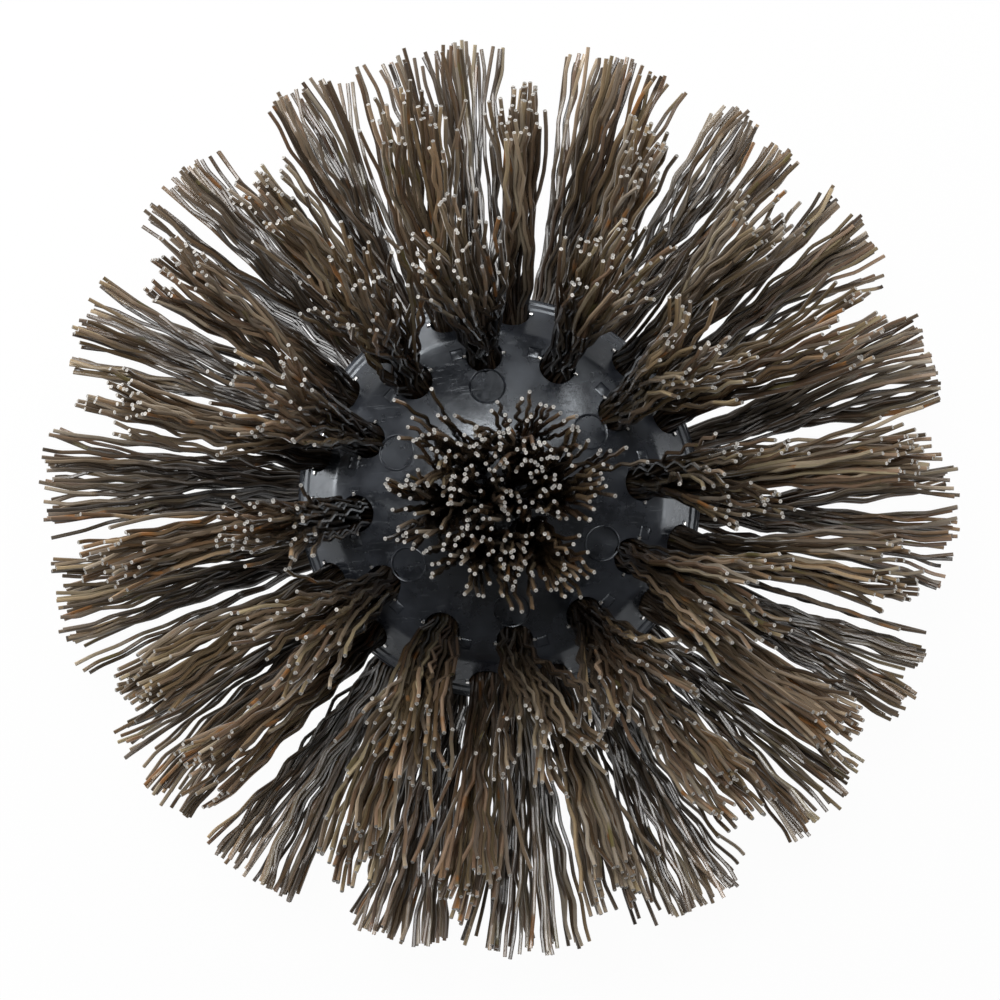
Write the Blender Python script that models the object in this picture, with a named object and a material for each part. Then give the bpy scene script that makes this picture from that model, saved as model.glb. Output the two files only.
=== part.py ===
# Round scrub brush head that screws onto a pole.
# A domed front block and a rear block hold five rings of crimped bristle tufts. Between the two
# blocks sits the keyed flange of the pole socket, whose neck comes out at the back.
# Metres, +Z up. The origin is the centre of the socket's end face, and +Z is the way the brush faces.

import math

import bmesh
import bpy
from mathutils import Matrix, Vector

# Fits
SEAT_GAP = 0.0003
CUT_OVERRUN = 0.001
SAME_POINT = 0.000001

# Roundness: a full turn in steps of ten degrees, so that every tuft sits on a line of vertices
TURN_STEPS = 36
FILLET_STEPS = 3
CROWN_STEPS = 5

# Pole socket
BORE_RADIUS = 0.0098
BORE_DEPTH = 0.0232
BORE_CHAMFER = 0.0008
NECK_WALL = 0.0044
NECK_REACH = 0.0245
COLLAR_STEP = 0.0026
COLLAR_HEIGHT = 0.0052
COLLAR_CHAMFER = 0.0008
NECK_RIB_HEIGHT = 0.0013
NECK_RIB_STOP = 0.0016
NECK_RIB_EVERY = 3
FLANGE_STEP = 0.0026
FLANGE_HEIGHT = 0.0032

# Rear block: its wall stands round the front block's spigot, which stands round the flange
SPIGOT_STEP = 0.0022
REAR_WALL = 0.0140
REAR_HEIGHT = 0.0125
REAR_LIP_CHAMFER = 0.0005
REAR_FILLET = 0.0028
REAR_WEB = 0.0034
BACK_POCKETS = 6
BACK_POCKET_INSET = 0.0018
BACK_POCKET_WIDTH = 0.0044
BACK_POCKET_DEPTH = 0.0050
BACK_RIB_WIDTH = 0.0024
BACK_POCKET_STEPS = 4

# Front block
RIM_STEP = 0.0007
FRONT_SKIRT = 0.0048
FRONT_EDGE_EASE = 0.0007
SHOULDER_WIDTH = 0.0059
SHOULDER_SLOPE = math.radians(47)
CROWN_RADIUS = 0.0657

# Tuft holes: a hole is bored square to the surface that it starts from
HOLE_RADIUS = 0.0029
HOLE_DEPTH = 0.0060
HOLE_SIDES = 12
INNER_RING_RADIUS = 0.0072
FRONT_RING_INSET = 0.0034
SHOULDER_RING_SHARE = 0.60
SIDE_RING_DROP = 0.0064

# Tufts: a six-sided root fills the hole, and a lock of bristles leaves each of its six facets
LOCKS = 6
ROOT_STAND = 0.0003
LOCK_INSET = 0.00022
LOCK_TAPER_SHARE = 0.80
FREE_LENGTH = 0.0420
CRIMP = 0.0006
OPEN_SPLAY = 0.0082
CROWDED_SPLAY = 0.0034
OPEN_BENDS = (1, -1, 1)
CROWDED_BENDS = (1, -1)

# Radii that follow from the sizes above, from the bore outwards
NECK_RADIUS = BORE_RADIUS + NECK_WALL
COLLAR_RADIUS = NECK_RADIUS + COLLAR_STEP
FLANGE_CORNER_RADIUS = NECK_RADIUS + FLANGE_STEP
SPIGOT_RADIUS = FLANGE_CORNER_RADIUS + SPIGOT_STEP
BACK_POCKET_INNER_RADIUS = SPIGOT_RADIUS + BACK_POCKET_INSET
BACK_POCKET_OUTER_RADIUS = BACK_POCKET_INNER_RADIUS + BACK_POCKET_WIDTH
REAR_RADIUS = SPIGOT_RADIUS + REAR_WALL
FRONT_RADIUS = REAR_RADIUS - RIM_STEP
SHOULDER_RADIUS = FRONT_RADIUS - SHOULDER_WIDTH
FRONT_RING_RADIUS = SHOULDER_RADIUS - FRONT_RING_INSET

# Heights that follow from the sizes above
PARTING = NECK_REACH + REAR_HEIGHT
FLANGE_BOTTOM = NECK_REACH + REAR_WEB + SEAT_GAP
FLANGE_TOP = FLANGE_BOTTOM + FLANGE_HEIGHT
SKIRT_TOP = PARTING + FRONT_SKIRT
SHOULDER_TOP = SKIRT_TOP + (FRONT_RADIUS - SHOULDER_RADIUS) * math.tan(SHOULDER_SLOPE)
CROWN_EDGE_ANGLE = math.asin(SHOULDER_RADIUS / CROWN_RADIUS)
CROWN_TOP = SHOULDER_TOP + CROWN_RADIUS * (1 - math.cos(CROWN_EDGE_ANGLE))
RECESS_CORNER_RADIUS = FLANGE_CORNER_RADIUS + SEAT_GAP / math.cos(math.pi / 6)


def plastic(name, colour, roughness):
    material = bpy.data.materials.new(name)
    material.use_nodes = True
    shader = material.node_tree.nodes["Principled BSDF"]
    shader.inputs["Base Color"].default_value = (*colour, 1)
    shader.inputs["Roughness"].default_value = roughness
    shader.inputs["Metallic"].default_value = 0
    return material


def add_object(name, mesh, material, frame):
    part = bpy.data.objects.new(name, mesh)
    bpy.context.scene.collection.objects.link(part)
    part.parent = frame
    if material and not mesh.materials:
        mesh.materials.append(material)
    return part


def finished_mesh(name, shape, sharp_from=math.radians(30)):
    """Turns a bmesh into a smooth-shaded mesh whose faces point out."""
    bmesh.ops.recalc_face_normals(shape, faces=shape.faces)
    mesh = bpy.data.meshes.new(name)
    shape.to_mesh(mesh)
    shape.free()
    mesh.shade_smooth()
    mesh.set_sharp_from_angle(angle=sharp_from)
    return mesh


def arc(centre, radius, start, end, steps):
    """Points of a profile's arc, as (radius, height). Angles run up from the outward direction."""
    angles = [start + (end - start) * i / steps for i in range(steps + 1)]
    return [(centre[0] + radius * math.cos(a), centre[1] + radius * math.sin(a)) for a in angles]


def turned(profile, closed):
    """Spins a profile of (radius, height) points about Z."""
    shape = bmesh.new()
    points = [shape.verts.new((radius, 0, height)) for radius, height in profile]
    pairs = list(zip(points, points[1:]))
    if closed:
        pairs.append((points[-1], points[0]))
    edges = [shape.edges.new(pair) for pair in pairs]
    bmesh.ops.spin(
        shape,
        geom=points + edges,
        cent=(0, 0, 0),
        axis=(0, 0, 1),
        angle=math.tau,
        steps=TURN_STEPS,
        use_merge=True,
    )
    bmesh.ops.remove_doubles(shape, verts=shape.verts, dist=SAME_POINT)
    return shape


def make_hexagonal(shape, radius, low, high, corner_radius):
    """Moves the ring of vertices at this radius, between two heights, onto a hexagon."""
    flat = corner_radius * math.cos(math.pi / 6)
    for vertex in shape.verts:
        reach = math.hypot(vertex.co.x, vertex.co.y)
        if abs(reach - radius) < SAME_POINT and low - SAME_POINT < vertex.co.z < high + SAME_POINT:
            around = math.atan2(vertex.co.y, vertex.co.x) % (math.pi / 3) - math.pi / 6
            grown = flat / math.cos(around) / reach
            vertex.co.x *= grown
            vertex.co.y *= grown


def crown_height(radius):
    """Height of the front block's dome at a distance from the axis."""
    return CROWN_TOP - CROWN_RADIUS + math.sqrt(CROWN_RADIUS**2 - radius**2)


def crown_tilt(radius):
    return math.asin(radius / CROWN_RADIUS)


def crown_seat(radius):
    return radius, crown_height(radius), crown_tilt(radius)


def shoulder_seat():
    radius = SHOULDER_RADIUS + (FRONT_RADIUS - SHOULDER_RADIUS) * SHOULDER_RING_SHARE
    return radius, SKIRT_TOP + (FRONT_RADIUS - radius) * math.tan(SHOULDER_SLOPE), SHOULDER_SLOPE


def side_seat():
    return REAR_RADIUS, PARTING - SIDE_RING_DROP, math.pi / 2


# Each ring: name, number of tufts, share of a pitch that it is turned by, seat (radius, height, tilt)
CENTRE_RING = ("centre", 1, 0, crown_seat(0))
INNER_RING = ("inner", 6, 0, crown_seat(INNER_RING_RADIUS))
FRONT_RING = ("front", 12, 0, crown_seat(FRONT_RING_RADIUS))
SHOULDER_RING = ("shoulder", 18, 0, shoulder_seat())
SIDE_RING = ("side", 18, 1 / 2, side_seat())
FRONT_BLOCK_RINGS = (CENTRE_RING, INNER_RING, FRONT_RING, SHOULDER_RING)
REAR_BLOCK_RINGS = (SIDE_RING,)
CROWDED_RINGS = (CENTRE_RING, INNER_RING)


def ring_frames(ring):
    """A matrix for each tuft of a ring: origin at the hole's mouth, X round the ring, Z out of the hole."""
    _, count, turn_share, (radius, height, tilt) = ring
    frames = []
    for index in range(count):
        around = math.tau * (index + turn_share) / count
        out = Vector((math.cos(around), math.sin(around), 0))
        along = Vector((-math.sin(around), math.cos(around), 0))
        axis = out * math.sin(tilt) + Vector((0, 0, 1)) * math.cos(tilt)
        turn = Matrix((along, axis.cross(along), axis)).transposed().to_4x4()
        frames.append(Matrix.Translation(out * radius + Vector((0, 0, height))) @ turn)
    return frames


def cutter(name, shape, frame):
    part = add_object(name, finished_mesh(name, shape), None, frame)
    part.hide_render = True
    part.display_type = "WIRE"
    return part


def cut(part, tool):
    modifier = part.modifiers.new(tool.name, "BOOLEAN")
    modifier.operation = "DIFFERENCE"
    modifier.solver = "EXACT"
    modifier.object = tool


def hole_cutter(name, rings, frame):
    """All the tuft holes of one block, as separate cylinders in one mesh."""
    shape = bmesh.new()
    depth = HOLE_DEPTH + CUT_OVERRUN
    middle = Matrix.Translation((0, 0, CUT_OVERRUN - depth / 2))
    half_side = Matrix.Rotation(math.pi / HOLE_SIDES, 4, "Z")
    for ring in rings:
        for seat in ring_frames(ring):
            bmesh.ops.create_cone(
                shape,
                cap_ends=True,
                segments=HOLE_SIDES,
                radius1=HOLE_RADIUS,
                radius2=HOLE_RADIUS,
                depth=depth,
                matrix=seat @ middle @ half_side,
            )
    return cutter(name, shape, frame)


def back_pocket_cutter(name, frame):
    """The cored pockets in the rear block's back, with a rib of even width between neighbours."""
    shape = bmesh.new()
    low = NECK_REACH - CUT_OVERRUN
    for index in range(BACK_POCKETS):
        middle = math.tau * (index + 1 / 2) / BACK_POCKETS
        outline = []
        for radius, way in ((BACK_POCKET_INNER_RADIUS, 1), (BACK_POCKET_OUTER_RADIUS, -1)):
            half = math.pi / BACK_POCKETS - math.asin(BACK_RIB_WIDTH / 2 / radius)
            for step in range(BACK_POCKET_STEPS + 1):
                around = middle + way * half * (2 * step / BACK_POCKET_STEPS - 1)
                outline.append((radius * math.cos(around), radius * math.sin(around), low))
        floor = shape.faces.new([shape.verts.new(point) for point in outline])
        raised = bmesh.ops.extrude_face_region(shape, geom=[floor])
        top = [item for item in raised["geom"] if isinstance(item, bmesh.types.BMVert)]
        bmesh.ops.translate(shape, verts=top, vec=(0, 0, BACK_POCKET_DEPTH + CUT_OVERRUN))
    return cutter(name, shape, frame)


def make_pole_socket(material, frame):
    """A ribbed neck with a blind bore for the pole's thread, under a hexagonal flange."""
    rib_top = NECK_REACH - NECK_RIB_STOP
    shape = turned(
        [
            (0, FLANGE_TOP),
            (FLANGE_CORNER_RADIUS, FLANGE_TOP),
            (FLANGE_CORNER_RADIUS, FLANGE_BOTTOM),
            (NECK_RADIUS, FLANGE_BOTTOM),
            (NECK_RADIUS, rib_top),
            (NECK_RADIUS, COLLAR_HEIGHT + COLLAR_CHAMFER),
            (COLLAR_RADIUS, COLLAR_HEIGHT),
            (COLLAR_RADIUS, COLLAR_CHAMFER),
            (COLLAR_RADIUS - COLLAR_CHAMFER, 0),
            (BORE_RADIUS + BORE_CHAMFER, 0),
            (BORE_RADIUS, BORE_CHAMFER),
            (BORE_RADIUS, BORE_DEPTH),
            (0, BORE_DEPTH),
        ],
        closed=False,
    )
    make_hexagonal(shape, FLANGE_CORNER_RADIUS, FLANGE_BOTTOM, FLANGE_TOP, FLANGE_CORNER_RADIUS)
    neck_low = COLLAR_HEIGHT + COLLAR_CHAMFER
    ribs = []
    for face in shape.faces:
        centre = face.calc_center_median()
        reach = math.hypot(centre.x, centre.y)
        column = math.floor(math.atan2(centre.y, centre.x) % math.tau / (math.tau / TURN_STEPS))
        on_neck = neck_low < centre.z < rib_top and reach > (NECK_RADIUS + BORE_RADIUS) / 2
        if on_neck and column % NECK_RIB_EVERY == 0:
            ribs.append(face)
    for face in bmesh.ops.extrude_discrete_faces(shape, faces=ribs)["faces"]:
        bmesh.ops.translate(shape, verts=face.verts, vec=face.normal * NECK_RIB_HEIGHT)
    return add_object("pole_socket", finished_mesh("pole_socket", shape), material, frame)


def make_rear_block(material, frame):
    """A ring bored for the side tufts, with a hexagonal recess for the socket's flange."""
    neck_hole = NECK_RADIUS + SEAT_GAP
    recess_floor = NECK_REACH + REAR_WEB
    recess_top = FLANGE_TOP + SEAT_GAP
    spigot_hole = SPIGOT_RADIUS + SEAT_GAP
    fillet_centre = (REAR_RADIUS - REAR_FILLET, NECK_REACH + REAR_FILLET)
    profile = [
        (spigot_hole, PARTING),
        (REAR_RADIUS - REAR_LIP_CHAMFER, PARTING),
        (REAR_RADIUS, PARTING - REAR_LIP_CHAMFER),
        *arc(fillet_centre, REAR_FILLET, 0, -math.pi / 2, FILLET_STEPS),
        (neck_hole, NECK_REACH),
        (neck_hole, recess_floor),
        (RECESS_CORNER_RADIUS, recess_floor),
        (RECESS_CORNER_RADIUS, recess_top),
        (spigot_hole, recess_top),
    ]
    shape = turned(profile, closed=True)
    make_hexagonal(shape, RECESS_CORNER_RADIUS, recess_floor, recess_top, RECESS_CORNER_RADIUS)
    block = add_object("rear_block", finished_mesh("rear_block", shape), material, frame)
    cut(block, hole_cutter("side_tuft_holes", REAR_BLOCK_RINGS, frame))
    cut(block, back_pocket_cutter("back_pockets", frame))
    return block


def make_front_block(material, frame):
    """A dome with a conical shoulder, bored for 37 tufts, and a spigot that holds the flange down."""
    crown_centre = (0, CROWN_TOP - CROWN_RADIUS)
    quarter = math.pi / 2
    crown = arc(crown_centre, CROWN_RADIUS, quarter, quarter - CROWN_EDGE_ANGLE, CROWN_STEPS)
    eased_in = FRONT_EDGE_EASE * math.cos(SHOULDER_SLOPE)
    eased_up = FRONT_EDGE_EASE * math.sin(SHOULDER_SLOPE)
    profile = [
        (0, CROWN_TOP),
        *crown[1:],
        (FRONT_RADIUS - eased_in, SKIRT_TOP + eased_up),
        (FRONT_RADIUS, SKIRT_TOP - FRONT_EDGE_EASE),
        (FRONT_RADIUS, PARTING + SEAT_GAP),
        (SPIGOT_RADIUS, PARTING + SEAT_GAP),
        (SPIGOT_RADIUS, FLANGE_TOP + 2 * SEAT_GAP),
        (0, FLANGE_TOP + 2 * SEAT_GAP),
    ]
    shape = turned(profile, closed=False)
    block = add_object("front_block", finished_mesh("front_block", shape), material, frame)
    cut(block, hole_cutter("front_tuft_holes", FRONT_BLOCK_RINGS, frame))
    return block


def tuft_mesh(name, splay, bends, material):
    """A root and six locks of crimped bristles that spread towards their trimmed ends."""
    shape = bmesh.new()
    root_radius = HOLE_RADIUS * math.cos(math.pi / HOLE_SIDES) - SEAT_GAP
    sides = [math.tau * index / LOCKS for index in range(LOCKS)]

    def ring(height):
        return [shape.verts.new((root_radius * math.cos(a), root_radius * math.sin(a), height)) for a in sides]

    foot = ring(SEAT_GAP - HOLE_DEPTH)
    head = ring(ROOT_STAND)
    middle = shape.verts.new((0, 0, ROOT_STAND))
    shape.faces.new(reversed(foot))
    facets = []
    for index in range(LOCKS):
        after = (index + 1) % LOCKS
        shape.faces.new((foot[index], foot[after], head[after], head[index]))
        facets.append(shape.faces.new((head[index], head[after], middle)))
    bmesh.ops.recalc_face_normals(shape, faces=shape.faces)
    bmesh.ops.inset_individual(shape, faces=facets, thickness=LOCK_INSET)
    for facet in facets:
        draw_lock(shape, facet, splay, bends)
    mesh = finished_mesh(name, shape)
    mesh.materials.append(material)
    return mesh


def draw_lock(shape, facet, splay, bends):
    """Draws one lock out of a facet, in one step for each bend of its crimp."""
    start = facet.calc_center_median()
    outline = [vertex.co - start for vertex in facet.verts]
    outward = Vector((start.x, start.y, 0)).normalized()
    spread = splay - math.hypot(start.x, start.y)
    reach = math.sqrt(FREE_LENGTH**2 - spread**2)
    for step, bend in enumerate(bends, 1):
        share = step / len(bends)
        facet = bmesh.ops.extrude_discrete_faces(shape, faces=[facet])["faces"][0]
        centre = start + outward * spread * share + Vector((CRIMP * bend, 0, reach * share))
        size = 1 + (LOCK_TAPER_SHARE - 1) * share
        for vertex, offset in zip(facet.verts, outline):
            vertex.co = centre + offset * size


def make_tufts(rings, material, frame):
    for ring in rings:
        name = ring[0]
        crowded = ring in CROWDED_RINGS
        splay = CROWDED_SPLAY if crowded else OPEN_SPLAY
        bends = CROWDED_BENDS if crowded else OPEN_BENDS
        mesh = tuft_mesh(f"{name}_tuft", splay, bends, material)
        for number, seat in enumerate(ring_frames(ring), 1):
            tuft = add_object(f"{name}_tuft_{number:02d}", mesh, material, frame)
            tuft.matrix_world = seat


def main():
    for old in list(bpy.data.objects):
        bpy.data.objects.remove(old)
    hub_plastic = plastic("hub_plastic", (0.022, 0.024, 0.028), 0.32)
    bristle = plastic("bristle", (0.070, 0.050, 0.036), 0.45)
    frame = bpy.data.objects.new("brush_head", None)
    bpy.context.scene.collection.objects.link(frame)
    make_pole_socket(hub_plastic, frame)
    make_rear_block(hub_plastic, frame)
    make_front_block(hub_plastic, frame)
    make_tufts(REAR_BLOCK_RINGS + FRONT_BLOCK_RINGS, bristle, frame)


main()
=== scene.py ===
import math
import random

import bpy
from mathutils import Matrix, Vector


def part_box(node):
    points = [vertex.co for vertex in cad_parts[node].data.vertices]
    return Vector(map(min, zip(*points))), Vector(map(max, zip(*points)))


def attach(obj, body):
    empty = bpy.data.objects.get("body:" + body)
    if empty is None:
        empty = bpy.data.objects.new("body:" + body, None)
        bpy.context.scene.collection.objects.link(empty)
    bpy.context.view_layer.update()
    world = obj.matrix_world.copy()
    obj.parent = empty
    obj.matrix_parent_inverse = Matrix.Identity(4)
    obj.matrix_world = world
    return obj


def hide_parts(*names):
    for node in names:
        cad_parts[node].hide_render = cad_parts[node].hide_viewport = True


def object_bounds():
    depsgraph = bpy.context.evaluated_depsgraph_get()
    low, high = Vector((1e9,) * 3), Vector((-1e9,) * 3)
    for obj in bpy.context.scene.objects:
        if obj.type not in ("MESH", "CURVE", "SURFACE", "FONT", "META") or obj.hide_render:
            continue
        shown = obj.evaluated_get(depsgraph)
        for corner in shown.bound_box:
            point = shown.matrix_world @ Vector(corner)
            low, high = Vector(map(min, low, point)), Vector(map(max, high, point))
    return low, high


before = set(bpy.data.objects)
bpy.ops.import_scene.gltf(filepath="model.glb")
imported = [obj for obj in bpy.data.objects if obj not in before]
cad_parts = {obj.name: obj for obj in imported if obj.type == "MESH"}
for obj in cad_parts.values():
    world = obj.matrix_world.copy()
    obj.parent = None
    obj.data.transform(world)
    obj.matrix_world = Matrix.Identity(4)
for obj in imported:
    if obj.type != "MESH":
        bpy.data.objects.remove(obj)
cadLow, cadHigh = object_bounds()

# the picture is taken straight down the axis, a little turned, with the axis just off its middle
picture = {
    "side": 1000,
    "axisAt": (499.5, 498.2),
    "turn": math.radians(6.2),
    "lens": 100,
    "sensor": 36,
    "distance": 0.462,
    "nearClip": 0.01,
}

# a key lamp above, one for the dome's gloss, low soft light from three sides, and an even room;
# round is the way to a lamp in the picture, slant its angle off the axis
lighting = {
    "lamps": {
        "keyLamp": {"round": math.radians(114), "slant": math.radians(14), "size": 0.20, "power": 2.02},
        "domeLamp": {"round": math.radians(60), "slant": math.radians(33), "size": 0.16, "power": 0.66},
        "topLamp": {"round": math.radians(110), "slant": math.radians(80), "size": 0.40, "power": 3.0},
        "leftLamp": {"round": math.radians(168), "slant": math.radians(82), "size": 0.40, "power": 3.6},
        "rightLamp": {"round": math.radians(356), "slant": math.radians(86), "size": 0.40, "power": 2.2},
    },
    "lampAway": 0.60,
    "room": (1.0, 0.98, 0.95),
    "roomStrength": 0.12,
    "floorSize": 6.0,
    "floorDrop": 0.0001,
    "floorColour": (0.80, 0.80, 0.80),
    "floorRoughness": 0.9,
    "floorGlow": 0.96,
}

# where the tufts stand: the rings, their counts, the turn as a share of the pitch, and the tilt off the
# axis; seed starts the chance of a ring's first tuft, and was picked for where the gaps between tufts fall;
# tips is how far a tuft's ends fan out, round the hub and up it, lean draws them towards the axis, stray is
# how far a whole tuft leans by chance, open is how far the ends within a lock spread, and scatter is how
# far each end strays from its place; bow is how late the fan opens, dark is how far up the filaments
# carry painted shade from the root, and flopShare of them flop over by a flopReach
rings = {
    "centre": {
        "count": 1,
        "seed": 21,
        "turnShare": 0,
        "tilt": 0,
        "tips": (0.0066, 0.0066),
        "lean": 0,
        "stray": 0.0005,
        "open": (1.8, 2.7),
        "scatter": 0.0007,
        "bow": 1.2,
        "dark": 1.25,
        "flopShare": 0.06,
        "flopReach": (0.0015, 0.0045),
    },
    "inner": {
        "count": 6,
        "seed": 22,
        "turnShare": 0,
        "tilt": math.radians(6.29),
        "tips": (0.0078, 0.0064),
        "lean": 0.0014,
        "stray": 0.0009,
        "open": (1.8, 2.7),
        "scatter": 0.0007,
        "bow": 1.2,
        "dark": 1.15,
        "flopShare": 0.14,
        "flopReach": (0.0020, 0.0090),
    },
    "front": {
        "count": 12,
        "seed": 620,
        "turnShare": 0,
        "tilt": math.radians(20.49),
        "tips": (0.0082, 0.0080),
        "lean": 0,
        "stray": 0.0013,
        "open": (1.5, 2.9),
        "scatter": 0.0013,
        "bow": 1.7,
        "dark": 0.80,
        "flopShare": 0.08,
        "flopReach": (0.0015, 0.0050),
    },
    "shoulder": {
        "count": 18,
        "seed": 1640,
        "turnShare": 0,
        "tilt": math.radians(47),
        "tips": (0.0048, 0.0078),
        "lean": 0.0012,
        "stray": 0.0023,
        "open": (1.0, 2.2),
        "scatter": 0.0009,
        "bow": 1.5,
        "dark": 0.64,
        "flopShare": 0.08,
        "flopReach": (0.0015, 0.0050),
    },
    "side": {
        "count": 18,
        "seed": 2380,
        "turnShare": 0.5,
        "tilt": math.radians(90),
        "tips": (0.0098, 0.0092),
        "lean": 0,
        "stray": 0.0026,
        "open": (0.5, 2.3),
        "scatter": 0.0008,
        "bow": 1.35,
        "dark": 1.07,
        "flopShare": 0.08,
        "flopReach": (0.0015, 0.0050),
    },
}
frontRings = ("centre", "inner", "front", "shoulder")
rearRings = ("side",)

# a tuft hole, the same in both blocks
hole = {
    "radius": 0.0029,
    "depth": 0.0060,
    "footGap": 0.0003,
    "flare": 0.00018,
    "sides": 28,
    "overrun": 0.0012,
    "slotLength": 0.0071,
    "slotWidth": 0.00055,
    "slotDepth": 0.0050,
}


def pickOnly(*things):
    bpy.ops.object.select_all(action="DESELECT")
    for thing in things:
        thing.select_set(True)
    bpy.context.view_layer.objects.active = things[0]


def editMode():
    bpy.ops.object.mode_set(mode="EDIT")


def objectMode():
    bpy.ops.object.mode_set(mode="OBJECT")


def facesUp(face):
    return face.normal.z > 0.9


def facesDown(face):
    return face.normal.z < -0.9


def anyFace(face):
    return True


def pickFaces(piece, wanted):
    # leaves the piece in edit mode with only these faces selected
    pickOnly(piece)
    editMode()
    bpy.ops.mesh.select_mode(type="FACE")
    bpy.ops.mesh.select_all(action="DESELECT")
    objectMode()
    for face in piece.data.polygons:
        face.select = wanted(face)
    editMode()


def useModifier(piece, kind, **values):
    pickOnly(piece)
    modifier = piece.modifiers.new(kind.lower(), kind)
    for name, value in values.items():
        setattr(modifier, name, value)
    bpy.ops.object.modifier_apply(modifier=modifier.name)


def cutAway(piece, tool):
    useModifier(piece, "BOOLEAN", operation="DIFFERENCE", solver="EXACT", object=tool)
    bpy.data.objects.remove(tool)


def copyOf(piece, place):
    twin = piece.copy()
    twin.data = piece.data.copy()
    bpy.context.scene.collection.objects.link(twin)
    twin.data.transform(place)
    return twin


def copiesJoined(name, piece, places):
    # one copy of the piece at each place, joined, and the pattern piece removed
    twins = [copyOf(piece, place) for place in places]
    bpy.data.objects.remove(piece)
    pickOnly(*twins)
    if len(twins) > 1:
        bpy.ops.object.join()
    twins[0].name = name
    return twins[0]


def smoothPiece(piece, name, angle=math.radians(32)):
    piece.name = name
    piece.data.name = name
    pickOnly(piece)
    bpy.ops.object.shade_smooth_by_angle(angle=angle)


# the frame of a hole, read off the foot of the CAD tuft that stands in it: X runs round the hub, and Z out
# of the hole
def seatOf(ringName, index):
    ring = rings[ringName]
    around = math.tau * (index + ring["turnShare"]) / ring["count"]
    out = Vector((math.cos(around), math.sin(around), 0))
    along = Vector((-math.sin(around), math.cos(around), 0))
    axis = out * math.sin(ring["tilt"]) + Vector((0, 0, math.cos(ring["tilt"])))
    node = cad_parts[f"{ringName}_tuft_{index + 1:02d}"]
    points = {tuple(round(x, 6) for x in v.co) for v in node.data.vertices}
    lowest = min(Vector(p).dot(axis) for p in points)
    foot = [Vector(p) for p in points if Vector(p).dot(axis) < lowest + hole["footGap"]]
    middle = sum(foot, Vector()) / len(foot)
    mouth = middle + axis * (hole["depth"] - hole["footGap"])
    return Matrix.Translation(mouth) @ Matrix((along, axis.cross(along), axis)).transposed().to_4x4()


def seatsOf(ringNames):
    return [seatOf(name, i) for name in ringNames for i in range(rings[name]["count"])]


# materials

def newMaterial(name):
    material = bpy.data.materials.new(name)
    material.use_nodes = True
    nodes = material.node_tree.nodes
    return material, nodes, material.node_tree.links, nodes["Principled BSDF"]


def noiseNode(nodes, links, vector, scale, detail, roughness=0.5):
    noise = nodes.new("ShaderNodeTexNoise")
    noise.inputs["Scale"].default_value = scale
    noise.inputs["Detail"].default_value = detail
    noise.inputs["Roughness"].default_value = roughness
    links.new(vector, noise.inputs["Vector"])
    return noise.outputs["Fac"]


def rampNode(nodes, links, value, stops):
    # stops are (position, colour or grey)
    ramp = nodes.new("ShaderNodeValToRGB")
    links.new(value, ramp.inputs["Fac"])
    elements = ramp.color_ramp.elements
    while len(elements) < len(stops):
        elements.new(0.5)
    for element, (position, colour) in zip(elements, stops):
        element.position = position
        element.color = (*colour, 1) if isinstance(colour, tuple) else (colour, colour, colour, 1)
    return ramp.outputs["Color"]


def attributeNode(nodes, name):
    attribute = nodes.new("ShaderNodeAttribute")
    attribute.attribute_name = name
    return attribute.outputs["Fac"]


def pickNode(nodes, links, value):
    # a chance number for each value
    pick = nodes.new("ShaderNodeTexWhiteNoise")
    pick.noise_dimensions = "1D"
    links.new(value, pick.inputs["W"])
    return pick.outputs["Value"]


def mixNode(nodes, links, factor, first, second, blend="MIX"):
    mix = nodes.new("ShaderNodeMix")
    mix.data_type = "RGBA"
    mix.blend_type = blend
    for value, socket in ((factor, mix.inputs[0]), (first, mix.inputs[6]), (second, mix.inputs[7])):
        if isinstance(value, bpy.types.NodeSocket):
            links.new(value, socket)
        else:
            socket.default_value = value
    return mix.outputs[2]


def bumpNode(nodes, links, height, strength, distance, before=None):
    bump = nodes.new("ShaderNodeBump")
    bump.inputs["Strength"].default_value = strength
    bump.inputs["Distance"].default_value = distance
    links.new(height, bump.inputs["Height"])
    if before:
        links.new(before, bump.inputs["Normal"])
    return bump.outputs["Normal"]


# clouds, scuffs and hairs are noises of a scale, a detail and a roughness; a bump is a strength and a depth
hubFinish = {
    "dark": (0.005, 0.006, 0.0085),
    "light": (0.022, 0.025, 0.033),
    "clouds": (150, 6, 0.6),
    "scuffs": (900, 4, 0.6),
    "hairs": (260, 3, 0.7),
    "hairStretch": (1, 14, 1),
    "hairTurn": (0, 0, 0.7),
    "hairStops": [(0.62, 0.0), (0.66, 1.0), (0.70, 0.0)],
    "tintStops": (0.35, 0.65),
    "polishStops": (0.38, 0.62),
    "glossy": 0.20,
    "dull": 0.40,
    "scuffShare": 0.25,
    "specular": 0.72,
    "sheenTint": (0.88, 0.94, 1.0, 1),
    "skinBump": (0.5, 0.00004),
    "hairBump": (0.6, 0.00002),
}


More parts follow.
